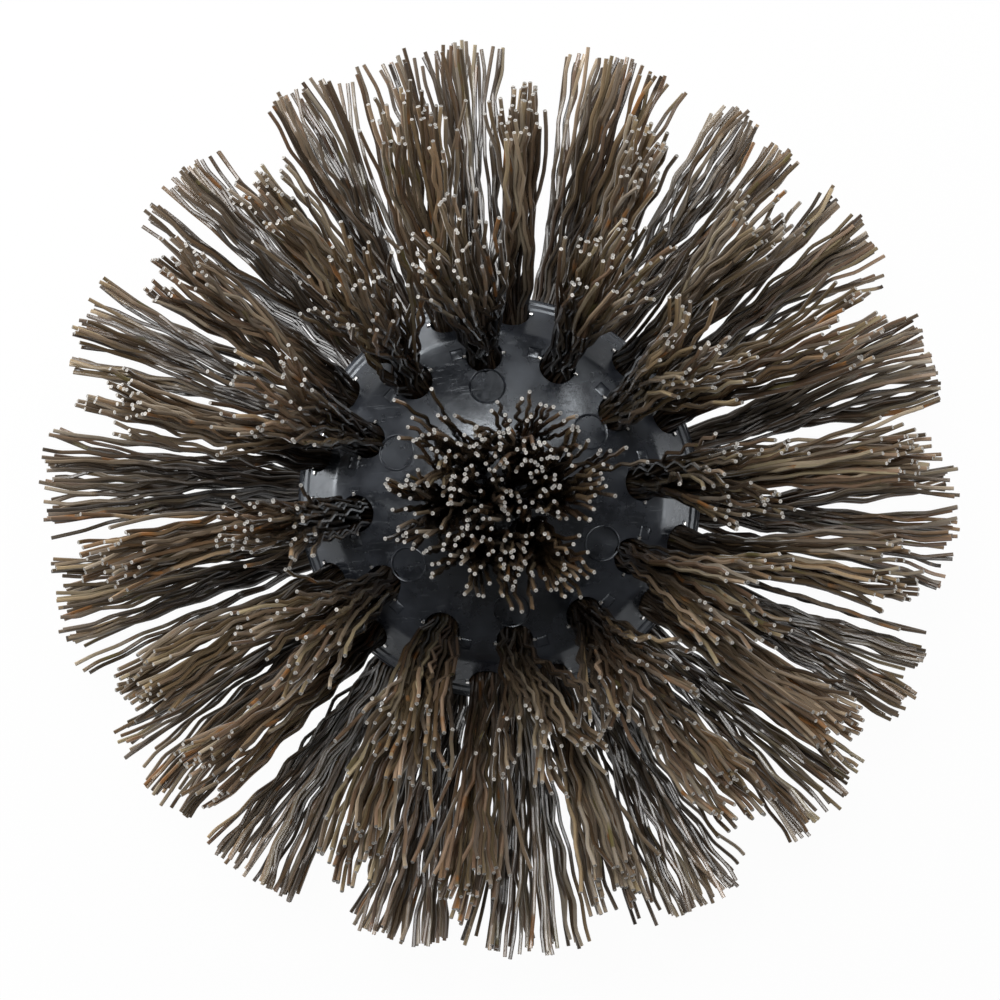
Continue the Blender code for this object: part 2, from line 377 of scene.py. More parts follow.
def hubPlastic():
    # charcoal moulded plastic: cloudy flow marks, a fine skin and hair scratches
    finish = hubFinish
    material, nodes, links, shader = newMaterial("charcoalPlastic")
    place = nodes.new("ShaderNodeTexCoord").outputs["Object"]
    clouds = noiseNode(nodes, links, place, *finish["clouds"])
    scuffs = noiseNode(nodes, links, place, *finish["scuffs"])
    stretch = nodes.new("ShaderNodeMapping")
    stretch.inputs["Scale"].default_value = finish["hairStretch"]
    stretch.inputs["Rotation"].default_value = finish["hairTurn"]
    links.new(place, stretch.inputs["Vector"])
    hairs = noiseNode(nodes, links, stretch.outputs["Vector"], *finish["hairs"])
    scratches = rampNode(nodes, links, hairs, finish["hairStops"])
    tintStops = list(zip(finish["tintStops"], (finish["dark"], finish["light"])))
    links.new(rampNode(nodes, links, clouds, tintStops), shader.inputs["Base Color"])
    shader.inputs["Specular IOR Level"].default_value = finish["specular"]
    shader.inputs["Specular Tint"].default_value = finish["sheenTint"]
    polishStops = list(zip(finish["polishStops"], (finish["glossy"], finish["dull"])))
    polish = rampNode(nodes, links, clouds, polishStops)
    wearAndGlint = mixNode(nodes, links, finish["scuffShare"], polish, scuffs, "OVERLAY")
    links.new(wearAndGlint, shader.inputs["Roughness"])
    skin = bumpNode(nodes, links, scuffs, *finish["skinBump"])
    cut = bumpNode(nodes, links, scratches, *finish["hairBump"], skin)
    links.new(cut, shader.inputs["Normal"])
    return material


# shade, body and pale are a filament's darkest, middle and palest tones, and tints tell the locks apart;
# foot is painted shade that darkens it from the root up, and tip a painted glow that pales it a little at
# its very end
bristleFinish = {
    "shade": (0.058, 0.041, 0.027),
    "body": (0.166, 0.120, 0.080),
    "pale": (0.370, 0.296, 0.210),
    # amber is a painted glow, the colour of light shining through a filament
    "amber": (0.290, 0.135, 0.048),
    "olive": (0.150, 0.125, 0.052),
    "tints": [
        (0.0, (1.10, 0.94, 0.90)),
        (0.3, (0.98, 1.00, 1.00)),
        (0.6, (0.90, 0.97, 1.12)),
        (0.8, (1.02, 1.05, 0.88)),
        (1.0, (1.18, 1.00, 0.84)),
    ],
    "amberStops": [(0.63, 0.0), (0.69, 1.0)],
    "oliveStops": [(0.30, 1.0), (0.35, 0.0)],
    # foot is painted shade: it darkens each filament from the root up, as if shadowed by the rest of the
    # tuft
    "foot": [(0.36, (0.17, 0.165, 0.17)), (0.66, (0.44, 0.43, 0.42)), (1.0, (1.0, 1.0, 1.0))],
    # tip is a painted glow, paling the last stretch as light through the thin end would
    "tip": [(0.945, 1.0), (1.0, 1.14)],
    "streakScale": (4, 5, 1),
    "streakDetail": 3,
    "streakShare": 0.45,
    "grain": (2600, 2),
    "grainBump": (0.25, 0.00003),
    "roughness": 0.18,
    "specular": 0.36,
}


def bristlePlastic():
    # grey-brown filaments, each of its own tone, with painted shade at the foot, a few amber lengths of
    # painted glow and a few olive lengths
    finish = bristleFinish
    material, nodes, links, shader = newMaterial("crimpedBristle")
    tone, mark, batch, shadeFade = (attributeNode(nodes, name) for name in ("tone", "mark", "batch", "shadeFade"))
    strand = nodes.new("ShaderNodeUVMap")
    strand.uv_map = "OFBake"
    lengthwise = nodes.new("ShaderNodeMapping")
    lengthwise.inputs["Scale"].default_value = finish["streakScale"]
    links.new(strand.outputs["UV"], lengthwise.inputs["Vector"])
    streak = nodes.new("ShaderNodeTexNoise")
    streak.noise_dimensions = "4D"
    streak.inputs["Scale"].default_value = 1
    streak.inputs["Detail"].default_value = finish["streakDetail"]
    links.new(lengthwise.outputs["Vector"], streak.inputs["Vector"])
    links.new(mark, streak.inputs["W"])
    streaks = streak.outputs["Fac"]
    stops = [(0.0, finish["shade"]), (0.5, finish["body"]), (1.0, finish["pale"])]
    own = rampNode(nodes, links, tone, stops)
    streaked = mixNode(nodes, links, finish["streakShare"], own, streaks, "OVERLAY")
    tint = rampNode(nodes, links, pickNode(nodes, links, batch), finish["tints"])
    varied = mixNode(nodes, links, 1, streaked, tint, "MULTIPLY")
    # painted glow: a few lengths turn amber, as a filament does with light shining through it
    isAmberGlow = rampNode(nodes, links, streaks, finish["amberStops"])
    isOlive = rampNode(nodes, links, streaks, finish["oliveStops"])
    warmed = mixNode(nodes, links, isAmberGlow, varied, (*finish["amber"], 1))
    coloured = mixNode(nodes, links, isOlive, warmed, (*finish["olive"], 1))
    # painted shade: the filament darkens towards its root, as far up as its ring's dark reaches
    upStrand = nodes.new("ShaderNodeSeparateXYZ")
    links.new(strand.outputs["UV"], upStrand.inputs[0])
    shadeHeight = nodes.new("ShaderNodeMath")
    shadeHeight.operation = "MULTIPLY"
    links.new(upStrand.outputs["Y"], shadeHeight.inputs[0])
    links.new(shadeFade, shadeHeight.inputs[1])
    rootShade = rampNode(nodes, links, shadeHeight.outputs[0], finish["foot"])
    dulled = mixNode(nodes, links, 1, coloured, rootShade, "MULTIPLY")
    # painted glow: the last stretch of each filament pales towards its end
    tipGlow = rampNode(nodes, links, upStrand.outputs["Y"], finish["tip"])
    links.new(mixNode(nodes, links, 1, dulled, tipGlow, "MULTIPLY"), shader.inputs["Base Color"])
    shader.inputs["Roughness"].default_value = finish["roughness"]
    shader.inputs["Specular IOR Level"].default_value = finish["specular"]
    place = nodes.new("ShaderNodeTexCoord").outputs["Object"]
    grain = noiseNode(nodes, links, place, *finish["grain"])
    links.new(bumpNode(nodes, links, grain, *finish["grainBump"]), shader.inputs["Normal"])
    return material


# the sheared end of a filament has a pale rim round a darker core, the rim partly a painted highlight on
# the burr of the cut, and a painted shade dulls the ends in the middle of the brush, where the root shade
# reaches furthest
endFinish = {
    # the rim's pale colour is partly a painted highlight on the burr of the cut
    "rim": (0.58, 0.555, 0.515),
    "core": (0.36, 0.335, 0.30),
    "grain": (1700, 3),
    "glintDimShare": 0.40,
    "glintStops": (0.40, 0.60),
    "ownStops": [(0.0, 0.5), (1.0, 1.0)],
    "middleShadeStops": [(0.65, 0.68), (0.95, 1.0)],
    "roughness": 0.5,
}


def cutEnd(name, colour):
    finish = endFinish
    material, nodes, links, shader = newMaterial(name)
    place = nodes.new("ShaderNodeTexCoord").outputs["Object"]
    # painted highlight: noise lights one side of each end and dims the other, in crescents
    grain = noiseNode(nodes, links, place, *finish["grain"])
    dim = tuple(c * finish["glintDimShare"] for c in colour)
    wearAndGlint = rampNode(nodes, links, grain, list(zip(finish["glintStops"], (dim, colour))))
    picked = pickNode(nodes, links, attributeNode(nodes, "mark"))
    own = rampNode(nodes, links, picked, finish["ownStops"])
    varied = mixNode(nodes, links, 1, wearAndGlint, own, "MULTIPLY")
    # painted shade: ends in the middle of the brush, whose filaments carry the most root shade, are dulled
    dulled = rampNode(nodes, links, attributeNode(nodes, "shadeFade"), finish["middleShadeStops"])
    links.new(mixNode(nodes, links, 1, varied, dulled, "MULTIPLY"), shader.inputs["Base Color"])
    shader.inputs["Roughness"].default_value = finish["roughness"]
    return material


steelFinish = {
    "patches": (1500, 4),
    "colourStops": [(0.3, (0.66, 0.65, 0.63)), (0.7, (0.86, 0.85, 0.83))],
    "roughnessStops": [(0.3, 0.16), (0.7, 0.34)],
}


def wireSteel():
    # bright drawn wire, dulled in patches
    finish = steelFinish
    material, nodes, links, shader = newMaterial("stapleSteel")
    place = nodes.new("ShaderNodeTexCoord").outputs["Object"]
    patches = noiseNode(nodes, links, place, *finish["patches"])
    links.new(rampNode(nodes, links, patches, finish["colourStops"]), shader.inputs["Base Color"])
    shader.inputs["Metallic"].default_value = 1
    links.new(rampNode(nodes, links, patches, finish["roughnessStops"]), shader.inputs["Roughness"])
    return material


plastic = hubPlastic()
bristle = bristlePlastic()
endRim = cutEnd("bristleEndRim", endFinish["rim"])
endCore = cutEnd("bristleEndCore", endFinish["core"])
steel = wireSteel()
print("materials made")


# values that the turned pieces share
turning = {
    "steps": 144,
    "poleRadius": 0.001,
    "samePoint": 0.000002,
    "overrun": 0.001,
}


# a piece drawn as by hand: a circle, then one extruded and scaled ring for each (radius, height)
def turnedPiece(name, profile, closed):
    radius, height = profile[0]
    fill = "NOTHING" if closed else "NGON"
    bpy.ops.mesh.primitive_circle_add(
        vertices=turning["steps"], radius=radius, fill_type=fill, location=(0, 0, 0)
    )
    piece = bpy.context.active_object
    piece.name = name
    piece.data.transform(Matrix.Translation((0, 0, height)))
    pickOnly(piece)
    editMode()
    bpy.ops.mesh.select_mode(type="VERT")
    bpy.ops.mesh.select_all(action="SELECT")
    for newRadius, newHeight in profile[1:]:
        rise = (0, 0, newHeight - height)
        grow = newRadius / radius
        bpy.ops.mesh.extrude_region_move(TRANSFORM_OT_translate={"value": rise})
        bpy.ops.transform.resize(value=(grow, grow, 1), center_override=(0, 0, 0))
        radius, height = newRadius, newHeight
    if closed:
        bpy.ops.mesh.select_all(action="DESELECT")
        bpy.ops.mesh.select_non_manifold()
        bpy.ops.mesh.bridge_edge_loops()
    bpy.ops.mesh.select_all(action="SELECT")
    bpy.ops.mesh.remove_doubles(threshold=turning["samePoint"])
    bpy.ops.mesh.normals_make_consistent(inside=False)
    objectMode()
    return piece


def closeEnds(piece):
    # a face across each open edge loop
    pickOnly(piece)
    editMode()
    bpy.ops.mesh.select_mode(type="EDGE")
    bpy.ops.mesh.select_all(action="DESELECT")
    bpy.ops.mesh.select_non_manifold()
    bpy.ops.mesh.edge_face_add()
    objectMode()


def holeTool():
    # a cylinder that flares at the mouth, with the two grooves that the staple cuts
    bpy.ops.mesh.primitive_cylinder_add(
        vertices=hole["sides"], radius=hole["radius"], depth=hole["depth"], location=(0, 0, 0)
    )
    tool = bpy.context.active_object
    tool.data.transform(Matrix.Translation((0, 0, -hole["depth"] / 2 - hole["flare"])))
    pickFaces(tool, facesUp)
    flared = (hole["radius"] + 2 * hole["flare"]) / hole["radius"]
    bpy.ops.mesh.extrude_region_move(TRANSFORM_OT_translate={"value": (0, 0, 2 * hole["flare"])})
    bpy.ops.transform.resize(value=(flared, flared, 1), center_override=(0, 0, 0))
    bpy.ops.mesh.extrude_region_move(TRANSFORM_OT_translate={"value": (0, 0, hole["overrun"])})
    objectMode()
    bpy.ops.mesh.primitive_cube_add(size=1, location=(0, 0, 0))
    slot = bpy.context.active_object
    tall = hole["slotDepth"] + hole["overrun"]
    scale = Matrix.Diagonal((hole["slotLength"], hole["slotWidth"], tall, 1))
    slot.data.transform(Matrix.Translation((0, 0, hole["overrun"] - tall / 2)) @ scale)
    useModifier(tool, "BOOLEAN", operation="UNION", solver="EXACT", object=slot)
    bpy.data.objects.remove(slot)
    return tool


# shares at the end are of the ease or step that they round or lean
frontShape = {
    "topRadius": 0.0012,
    "crownRadius": 0.0657,
    "crownSteps": 26,
    "creaseEase": 0.0004,
    "shoulderWidth": 0.0059,
    "shoulderSlope": math.radians(47),
    "shoulderSteps": 5,
    "stepIn": 0.00022,
    "stepDown": 0.00022,
    "stepsAtShare": (0.74, 0.90),
    "skirt": 0.0048,
    "rimStep": 0.0007,
    "rearWall": 0.0140,
    "seatGap": 0.0003,
    "edgeEase": 0.0004,
    "creaseSinkShare": 0.12,
    "stepLeanShare": 0.2,
    "stepDropShare": 2,
    "edgeInShare": 0.7,
    "edgeUpShare": 0.4,
}


def frontHeights():
    # the dome's own sizes, worked out from the CAD node's box
    shape = frontShape
    low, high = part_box("front_block")
    shape["radius"] = high.x
    shape["bottom"] = low.z
    shape["creaseRadius"] = high.x - shape["shoulderWidth"]
    shape["spigotRadius"] = high.x + shape["rimStep"] - shape["rearWall"]


def domeHeight(radius):
    bend = frontShape["crownRadius"]
    return frontShape["domeTop"] - bend + math.sqrt(bend**2 - radius**2)


def frontBlock():
    shape = frontShape
    frontHeights()
    slope = math.tan(shape["shoulderSlope"])
    bend = shape["crownRadius"]
    crease = shape["creaseRadius"]
    # the centre tuft's hole takes the very top of the dome off the CAD node's box
    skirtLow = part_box("rear_block")[1].z + shape["seatGap"]
    skirtTop = skirtLow - shape["seatGap"] + shape["skirt"]
    creaseHeight = skirtTop + shape["shoulderWidth"] * slope
    shape["domeTop"] = creaseHeight + bend - math.sqrt(bend**2 - crease**2)
    start = shape["topRadius"]
    steps = shape["crownSteps"]
    stopAt = crease - shape["creaseEase"]
    crown = [start + (stopAt - start) * i / steps for i in range(steps + 1)]
    profile = [(r, domeHeight(r)) for r in crown]
    ease = shape["creaseEase"]
    profile.append((crease, creaseHeight - ease * shape["creaseSinkShare"]))

    def onShoulder(radius):
        return radius, skirtTop + (shape["radius"] - radius) * slope

    profile.append(onShoulder(crease + ease))
    at = crease + ease
    for share in shape["stepsAtShare"]:
        radius = crease + shape["shoulderWidth"] * share
        for i in range(1, shape["shoulderSteps"]):
            profile.append(onShoulder(at + (radius - at) * i / shape["shoulderSteps"]))
        edge = onShoulder(radius)
        profile.append(edge)
        lean = shape["stepIn"] * shape["stepLeanShare"]
        drop = shape["stepDown"] * shape["stepDropShare"]
        profile.append((edge[0] + lean, edge[1] - drop))
        at = radius + shape["stepIn"]
        profile.append(onShoulder(at + shape["stepIn"]))
        at += shape["stepIn"]
    ease = shape["edgeEase"]
    rim = shape["radius"]
    profile += [
        (rim - ease * shape["edgeInShare"], skirtTop + ease * shape["edgeUpShare"]),
        (rim, skirtTop - ease),
        (rim, skirtLow + ease / 2),
        (rim - ease / 2, skirtLow),
        (shape["spigotRadius"], skirtLow),
        (shape["spigotRadius"], shape["bottom"]),
        (shape["topRadius"], shape["bottom"]),
    ]
    block = turnedPiece("front_hub", profile, closed=False)
    closeEnds(block)
    cutAway(block, copiesJoined("frontHoles", holeTool(), seatsOf(frontRings)))
    return block


marks = {
    "discCount": 6,
    "discTurnShare": 0.5,
    "discRadius": 0.00262,
    "discFromAxis": 0.0179,
    "discSunk": 0.00026,
    "discSteps": 48,
    "lipThick": 0.00017,
    "lipSinkShare": 1 / 3,
    "lipSides": 8,
    "squareCount": 12,
    "squareTurn": math.radians(10.3),
    "squareFromAxis": 0.0239,
    "squareSize": (0.0021, 0.0017),
    "squareSunk": 0.00016,
    "squareRiseShare": 1.1,
    "squareWall": 0.00028,
}


def domeSeat(radius, around):
    # a place on the dome, with Z square to it
    tilt = math.asin(radius / frontShape["crownRadius"])
    out = Vector((math.cos(around), math.sin(around), 0))
    along = Vector((-math.sin(around), math.cos(around), 0))
    axis = out * math.sin(tilt) + Vector((0, 0, math.cos(tilt)))
    point = out * radius + Vector((0, 0, domeHeight(radius)))
    return Matrix.Translation(point) @ Matrix((along, axis.cross(along), axis)).transposed().to_4x4()


def mouldMarks(block):
    # round ejector marks, sunk a hair, and small square outlines
    count = marks["discCount"]
    seats = [
        domeSeat(marks["discFromAxis"], math.tau * (i + marks["discTurnShare"]) / count)
        for i in range(count)
    ]
    tall = marks["discSunk"] + turning["overrun"]
    bpy.ops.mesh.primitive_cylinder_add(
        vertices=marks["discSteps"], radius=marks["discRadius"], depth=tall, location=(0, 0, 0)
    )
    disc = bpy.context.active_object
    disc.data.transform(Matrix.Translation((0, 0, tall / 2 - marks["discSunk"])))
    cutAway(block, copiesJoined("discCutters", disc, seats))
    bpy.ops.mesh.primitive_torus_add(
        major_radius=marks["discRadius"] + marks["lipThick"],
        minor_radius=marks["lipThick"],
        major_segments=marks["discSteps"],
        minor_segments=marks["lipSides"],
        location=(0, 0, -marks["lipThick"] * marks["lipSinkShare"]),
    )
    lip = bpy.context.active_object
    lip.data.transform(lip.matrix_world)
    lip.matrix_world = Matrix.Identity(4)
    lips = copiesJoined("discLips", lip, seats)
    wide, deep = marks["squareSize"]
    tall = marks["squareSunk"] + turning["overrun"]
    bpy.ops.mesh.primitive_cube_add(size=1, location=(0, 0, 0))
    square = bpy.context.active_object
    lift = Matrix.Translation((0, 0, tall / 2 - marks["squareSunk"]))
    square.data.transform(lift @ Matrix.Diagonal((wide, deep, tall, 1)))
    pickFaces(square, facesDown)
    bpy.ops.mesh.inset(thickness=marks["squareWall"])
    bpy.ops.transform.translate(value=(0, 0, marks["squareSunk"] * marks["squareRiseShare"]))
    objectMode()
    seats = [
        domeSeat(marks["squareFromAxis"], marks["squareTurn"] + math.tau * i / marks["squareCount"])
        for i in range(marks["squareCount"])
    ]
    cutAway(block, copiesJoined("squareCutters", square, seats))
    pickOnly(block, lips)
    bpy.ops.object.join()


def dressHub(piece, name, node):
    smoothPiece(piece, name)
    piece.data.materials.clear()
    piece.data.materials.append(plastic)
    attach(piece, "root")
    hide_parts(node)


front = frontBlock()
mouldMarks(front)
dressHub(front, "front_hub", "front_block")
print("front block made")


rearShape = {
    "lip": 0.0005,
    "lipShare": 0.3,
    "fillet": 0.0028,
    "filletSteps": 6,
    "web": 0.0034,
    "neckWall": 0.0044,
    "flangeStep": 0.0026,
    "flangeHeight": 0.0032,
    "boreRadius": 0.0098,
    "pockets": 6,
    "pocketInset": 0.0018,
    "pocketWidth": 0.0044,
    "pocketDepth": 0.0050,
    "pocketEase": 0.0006,
    "pocketInShare": 0.6,
    "ribWidth": 0.0024,
    "pocketSteps": 12,
}


def rearBlock():
    shape = rearShape
    low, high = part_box("rear_block")
    radius = seatOf("side", 0).translation.to_2d().length
    gap = frontShape["seatGap"]
    neck = shape["boreRadius"] + shape["neckWall"]
    spigotHole = frontShape["spigotRadius"] + gap
    recess = neck + shape["flangeStep"] + gap
    recessFloor = low.z + shape["web"]
    recessTop = recessFloor + gap + shape["flangeHeight"] + gap
    bend = shape["fillet"]
    lip = shape["lip"]
    profile = [
        (spigotHole, high.z),
        (radius - lip, high.z),
        (radius - lip * shape["lipShare"], high.z - lip * shape["lipShare"]),
        (radius, high.z - lip),
    ]
    for i in range(shape["filletSteps"] + 1):
        angle = -math.pi / 2 * i / shape["filletSteps"]
        profile.append(
            (radius - bend + bend * math.cos(angle), low.z + bend + bend * math.sin(angle))
        )
    profile += [
        (neck + gap + lip, low.z),
        (neck + gap, low.z + lip),
        (neck + gap, recessFloor),
        (recess, recessFloor),
        (recess, recessTop),
        (spigotHole, recessTop),
    ]
    block = turnedPiece("rear_hub", profile, closed=True)
    cutAway(block, copiesJoined("sideHoles", holeTool(), seatsOf(rearRings)))
    cutAway(block, pocketTool(frontShape["spigotRadius"], low.z))
    return block


def pocketTool(spigotRadius, backHeight):
    # one cored pocket drawn as a grid bent round the axis, then copied round
    shape = rearShape
    inner = spigotRadius + shape["pocketInset"]
    outer = inner + shape["pocketWidth"]
    bpy.ops.mesh.primitive_grid_add(
        x_subdivisions=shape["pocketSteps"], y_subdivisions=1, size=2, location=(0, 0, 0)
    )
    pocket = bpy.context.active_object
    for vertex in pocket.data.vertices:
        radius = outer if vertex.co.y > 0 else inner
        half = math.pi / shape["pockets"] - math.asin(shape["ribWidth"] / 2 / radius)
        around = vertex.co.x * half
        height = backHeight - turning["overrun"]
        vertex.co = (radius * math.cos(around), radius * math.sin(around), height)
    pickFaces(pocket, anyFace)
    tall = turning["overrun"] + shape["pocketDepth"] - shape["pocketEase"]
    bpy.ops.mesh.extrude_region_move(TRANSFORM_OT_translate={"value": (0, 0, tall)})
    bpy.ops.mesh.inset(thickness=shape["pocketEase"] * shape["pocketInShare"])
    bpy.ops.transform.translate(value=(0, 0, shape["pocketEase"]))
    bpy.ops.mesh.select_all(action="SELECT")
    bpy.ops.mesh.normals_make_consistent(inside=False)
    objectMode()
    turns = [
        Matrix.Rotation(math.tau * (i + 0.5) / shape["pockets"], 4, "Z")
        for i in range(shape["pockets"])
    ]
    return copiesJoined("pocketCutters", pocket, turns)


rear = rearBlock()
dressHub(rear, "rear_hub", "rear_block")
print("rear block made")


socketShape = {
    "boreDepth": 0.0232,
    "chamfer": 0.0008,
    "collarStep": 0.0026,
    "collarHeight": 0.0052,
    "ribs": 12,
    "ribHeight": 0.0013,
    "ribStop": 0.0016,
    "ribSteps": 4,
    "ribEase": 0.0002,
    "keySides": 6,
    "nearby": 0.0001,
    "threadPitch": 0.00508,
    "threadHeight": 0.0019,
    "threadRoot": 0.0030,
    "threadCrest": 0.0016,
    "threadTurns": 3.6,
    "threadStepsPerTurn": 72,
    "threadFrom": 0.0024,
    "threadSunk": 0.0002,
    "threadMerge": 0.00001,
}


def poleSocket():
    shape = socketShape
    low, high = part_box("pole_socket")
    bore = rearShape["boreRadius"]
    neck = bore + rearShape["neckWall"]
    collar = neck + shape["collarStep"]
    flange = neck + rearShape["flangeStep"]
    chamfer = shape["chamfer"]
    flangeLow = high.z - rearShape["flangeHeight"]
    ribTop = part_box("rear_block")[0].z - shape["ribStop"]
    profile = [
        (turning["poleRadius"], high.z),
        (flange, high.z),
        (flange, flangeLow),
        (neck, flangeLow),
        (neck, ribTop),
        (neck, shape["collarHeight"] + chamfer),
        (collar - chamfer / 3, shape["collarHeight"]),
        (collar, shape["collarHeight"] - chamfer / 2),
        (collar, chamfer),
        (collar - chamfer, low.z),
        (bore + chamfer, low.z),
        (bore, chamfer),
        (bore, shape["boreDepth"] - chamfer / 2),
        (bore - chamfer / 2, shape["boreDepth"]),
        (turning["poleRadius"], shape["boreDepth"]),
    ]
    socket = turnedPiece("socket", profile, closed=False)
    keyFlange(socket, flange, flangeLow)
    closeEnds(socket)
    ribLow = shape["collarHeight"] + chamfer
    column = math.tau / turning["steps"]
    perRib = turning["steps"] // shape["ribs"]

    def isRib(face):
        reach = math.hypot(face.center.x, face.center.y)
        step = math.floor(math.atan2(face.center.y, face.center.x) % math.tau / column)
        onNeck = ribLow < face.center.z < ribTop and reach > (neck + bore) / 2
        return onNeck and step % perRib < shape["ribSteps"]

    pickFaces(socket, isRib)
    bpy.ops.mesh.extrude_region_shrink_fatten(
        TRANSFORM_OT_shrink_fatten={"value": shape["ribHeight"]}
    )
    bpy.ops.mesh.inset(thickness=shape["ribEase"])
    objectMode()
    return socket


def keyFlange(piece, corner, lowest):
    # pulls the round flange in to the six flats that key it
    nearby = socketShape["nearby"]
    side = math.tau / socketShape["keySides"]
    flat = corner * math.cos(side / 2)
    for vertex in piece.data.vertices:
        reach = math.hypot(vertex.co.x, vertex.co.y)
        if vertex.co.z > lowest - nearby and reach > corner - nearby:
            around = math.atan2(vertex.co.y, vertex.co.x) % side - side / 2
            vertex.co.x *= flat / math.cos(around) / reach
            vertex.co.y *= flat / math.cos(around) / reach


def socketThread():
    # the raised thread in the bore: a closed section, turned and lifted by Screw
    shape = socketShape
    wall = rearShape["boreRadius"] + shape["threadSunk"]
    crest = rearShape["boreRadius"] - shape["threadHeight"]
    section = bpy.data.meshes.new("thread")
    corners = [
        (wall, 0, -shape["threadRoot"] / 2),
        (wall, 0, shape["threadRoot"] / 2),
        (crest, 0, shape["threadCrest"] / 2),
        (crest, 0, -shape["threadCrest"] / 2),
    ]
    section.from_pydata(corners, [(0, 1), (1, 2), (2, 3), (3, 0)], [])
    thread = bpy.data.objects.new("thread", section)
    bpy.context.scene.collection.objects.link(thread)
    steps = int(shape["threadStepsPerTurn"] * shape["threadTurns"])
    useModifier(
        thread,
        "SCREW",
        angle=math.tau * shape["threadTurns"],
        screw_offset=shape["threadPitch"] * shape["threadTurns"],
        steps=steps,
        render_steps=steps,
        merge_threshold=shape["threadMerge"],
    )
    thread.data.transform(Matrix.Translation((0, 0, shape["threadFrom"])))
    closeEnds(thread)
    editMode()
    bpy.ops.mesh.select_all(action="SELECT")
    bpy.ops.mesh.normals_make_consistent(inside=False)
    objectMode()
    return thread


socket = poleSocket()
thread = socketThread()
pickOnly(socket, thread)
bpy.ops.object.join()
dressHub(socket, "threaded_socket", "pole_socket")
print("pole socket made")


staple = {
    "length": 0.0069,
    "wire": 0.00045,
    "crown": 0.0011,
    "armWidth": 0.0006,
    "footAt": -0.0049,
    "armTop": 0.00020,
    "ease": 0.00006,
}


def stapleWire():
    # a flat wire with an arm turned up at each end, in the grooves beside the hole
    bpy.ops.mesh.primitive_cube_add(size=1, location=(0, 0, 0))
    wire = bpy.context.active_object
    size = Matrix.Diagonal((staple["length"], staple["wire"], staple["crown"], 1))
    lift = Matrix.Translation((0, 0, staple["footAt"] + staple["crown"] / 2))
    wire.data.transform(lift @ size)
    half = staple["length"] / 2 - staple["armWidth"]
    pickFaces(wire, anyFace)
    for side in (-1, 1):
        bpy.ops.mesh.select_all(action="SELECT")
        bpy.ops.mesh.bisect(plane_co=(side * half, 0, 0), plane_no=(1, 0, 0))
    objectMode()
    pickFaces(wire, lambda face: facesUp(face) and abs(face.center.x) > half)
    rise = staple["armTop"] - staple["footAt"] - staple["crown"]
    bpy.ops.mesh.extrude_region_move(TRANSFORM_OT_translate={"value": (0, 0, rise)})
    objectMode()
    useModifier(wire, "BEVEL", width=staple["ease"], segments=1, limit_method="ANGLE")
    return wire


for ringName, ring in rings.items():
    wires = copiesJoined(f"{ringName}_staples", stapleWire(), seatsOf([ringName]))
    smoothPiece(wires, f"{ringName}_staples")
    wires.data.materials.append(steel)
    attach(wires, "root")
print("staples made")


# the filaments of every tuft: a share or an error says how far one filament strays from its lock, marks is
# the range of the chance numbers that tell filaments and locks apart, and bends, firstBend and crimpLength
# lay out the crimp, which grows out of the hole and calms down towards the tip
bristles = {
    "thick": 0.00063,
    "count": 48,
    "pitch": 0.00069,
    "latticeReach": 5,
    "locks": (8, 13),
    "lockTries": 6,
    "lockError": 0.0011,
    "rootDepth": 0.0042,
    "freeLength": 0.0420,
    "trimError": 0.0006,
    "bends": 10,
    "firstBend": -0.0030,
    "crimpLength": 0.0087,
    "bendEase": 0.00048,
    "crimp": (0.00018, 0.00062),
    "rootCrimp": 0.4,
    "crimpGrow": 0.0024,
    "tipCalm": 0.55,
    "sides": 6,
    "drift": 0.00055,
    "ownDriftShare": 1 / 4,
    "lockTone": (0.5, 0.13),
    "toneError": 0.30,
    "turnError": 0.5,
    "shiftError": 0.12,
    "marks": 40,
    "rimWidth": 0.00014,
    "smoothAngle": math.radians(50),
    "mapMargin": 0.05,
}


def randomStep(chance, size):
    return Vector((chance.gauss(0, size), chance.gauss(0, size)))


def randomWay(chance):
    way = chance.uniform(0, math.tau)
    return Vector((math.cos(way), math.sin(way)))


def holePoints(chance):
    # close packing of the hole, from the middle outwards
    pitch, reach = bristles["pitch"], bristles["latticeReach"]
    turn = Matrix.Rotation(chance.uniform(0, math.tau), 2)
    points = []
    for row in range(-reach, reach + 1):
        for column in range(-reach, reach + 1):
            points.append(turn @ Vector((column + row / 2, row * math.sqrt(3) / 2)) * pitch)
    points.sort(key=lambda p: p.length + chance.uniform(0, pitch / 2))
    return points[: bristles["count"]]


def lockCentres(points, chance):
    # filaments that stand well apart, each of which gathers its neighbours into a lock
    centres = [chance.choice(points)]
    for _ in range(chance.randint(*bristles["locks"]) - 1):
        tries = [chance.choice(points) for _ in range(bristles["lockTries"])]
        centres.append(max(tries, key=lambda p: min((p - c).length for c in centres)))
    return centres


def strandPath(start, tip, length, bow, way, height, shift, drift):
    # points of one filament in the hole's frame: two at each bend of its crimp, straight runs between
    half = bristles["crimpLength"] / 2
    runs = [(-bristles["rootDepth"], 0)]
    for bend in range(bristles["bends"]):
        at = bristles["firstBend"] + (bend + shift) * half
        grow = min(1, max(0, at / bristles["crimpGrow"]) + bristles["rootCrimp"])
        calm = 1 - bristles["tipCalm"] * max(0, at) / length
        side = height * grow * calm * (-1) ** bend
        runs += [(at - bristles["bendEase"], side), (at + bristles["bendEase"], side)]
    left = min(1, (length - at) / half)
    runs.append((length, side * (1 - 2 * left)))
    reach = math.sqrt(length**2 - tip.length_squared)
    points = []
    for run, side in runs:
        share = max(0, run / length)
        across = start + (tip - start) * share**bow + way * side
        across = across + drift[0] * math.sin(math.pi * share) + drift[1] * math.sin(math.tau * share)
        points.append((across.x, across.y, run if run < 0 else reach * share))
    return points


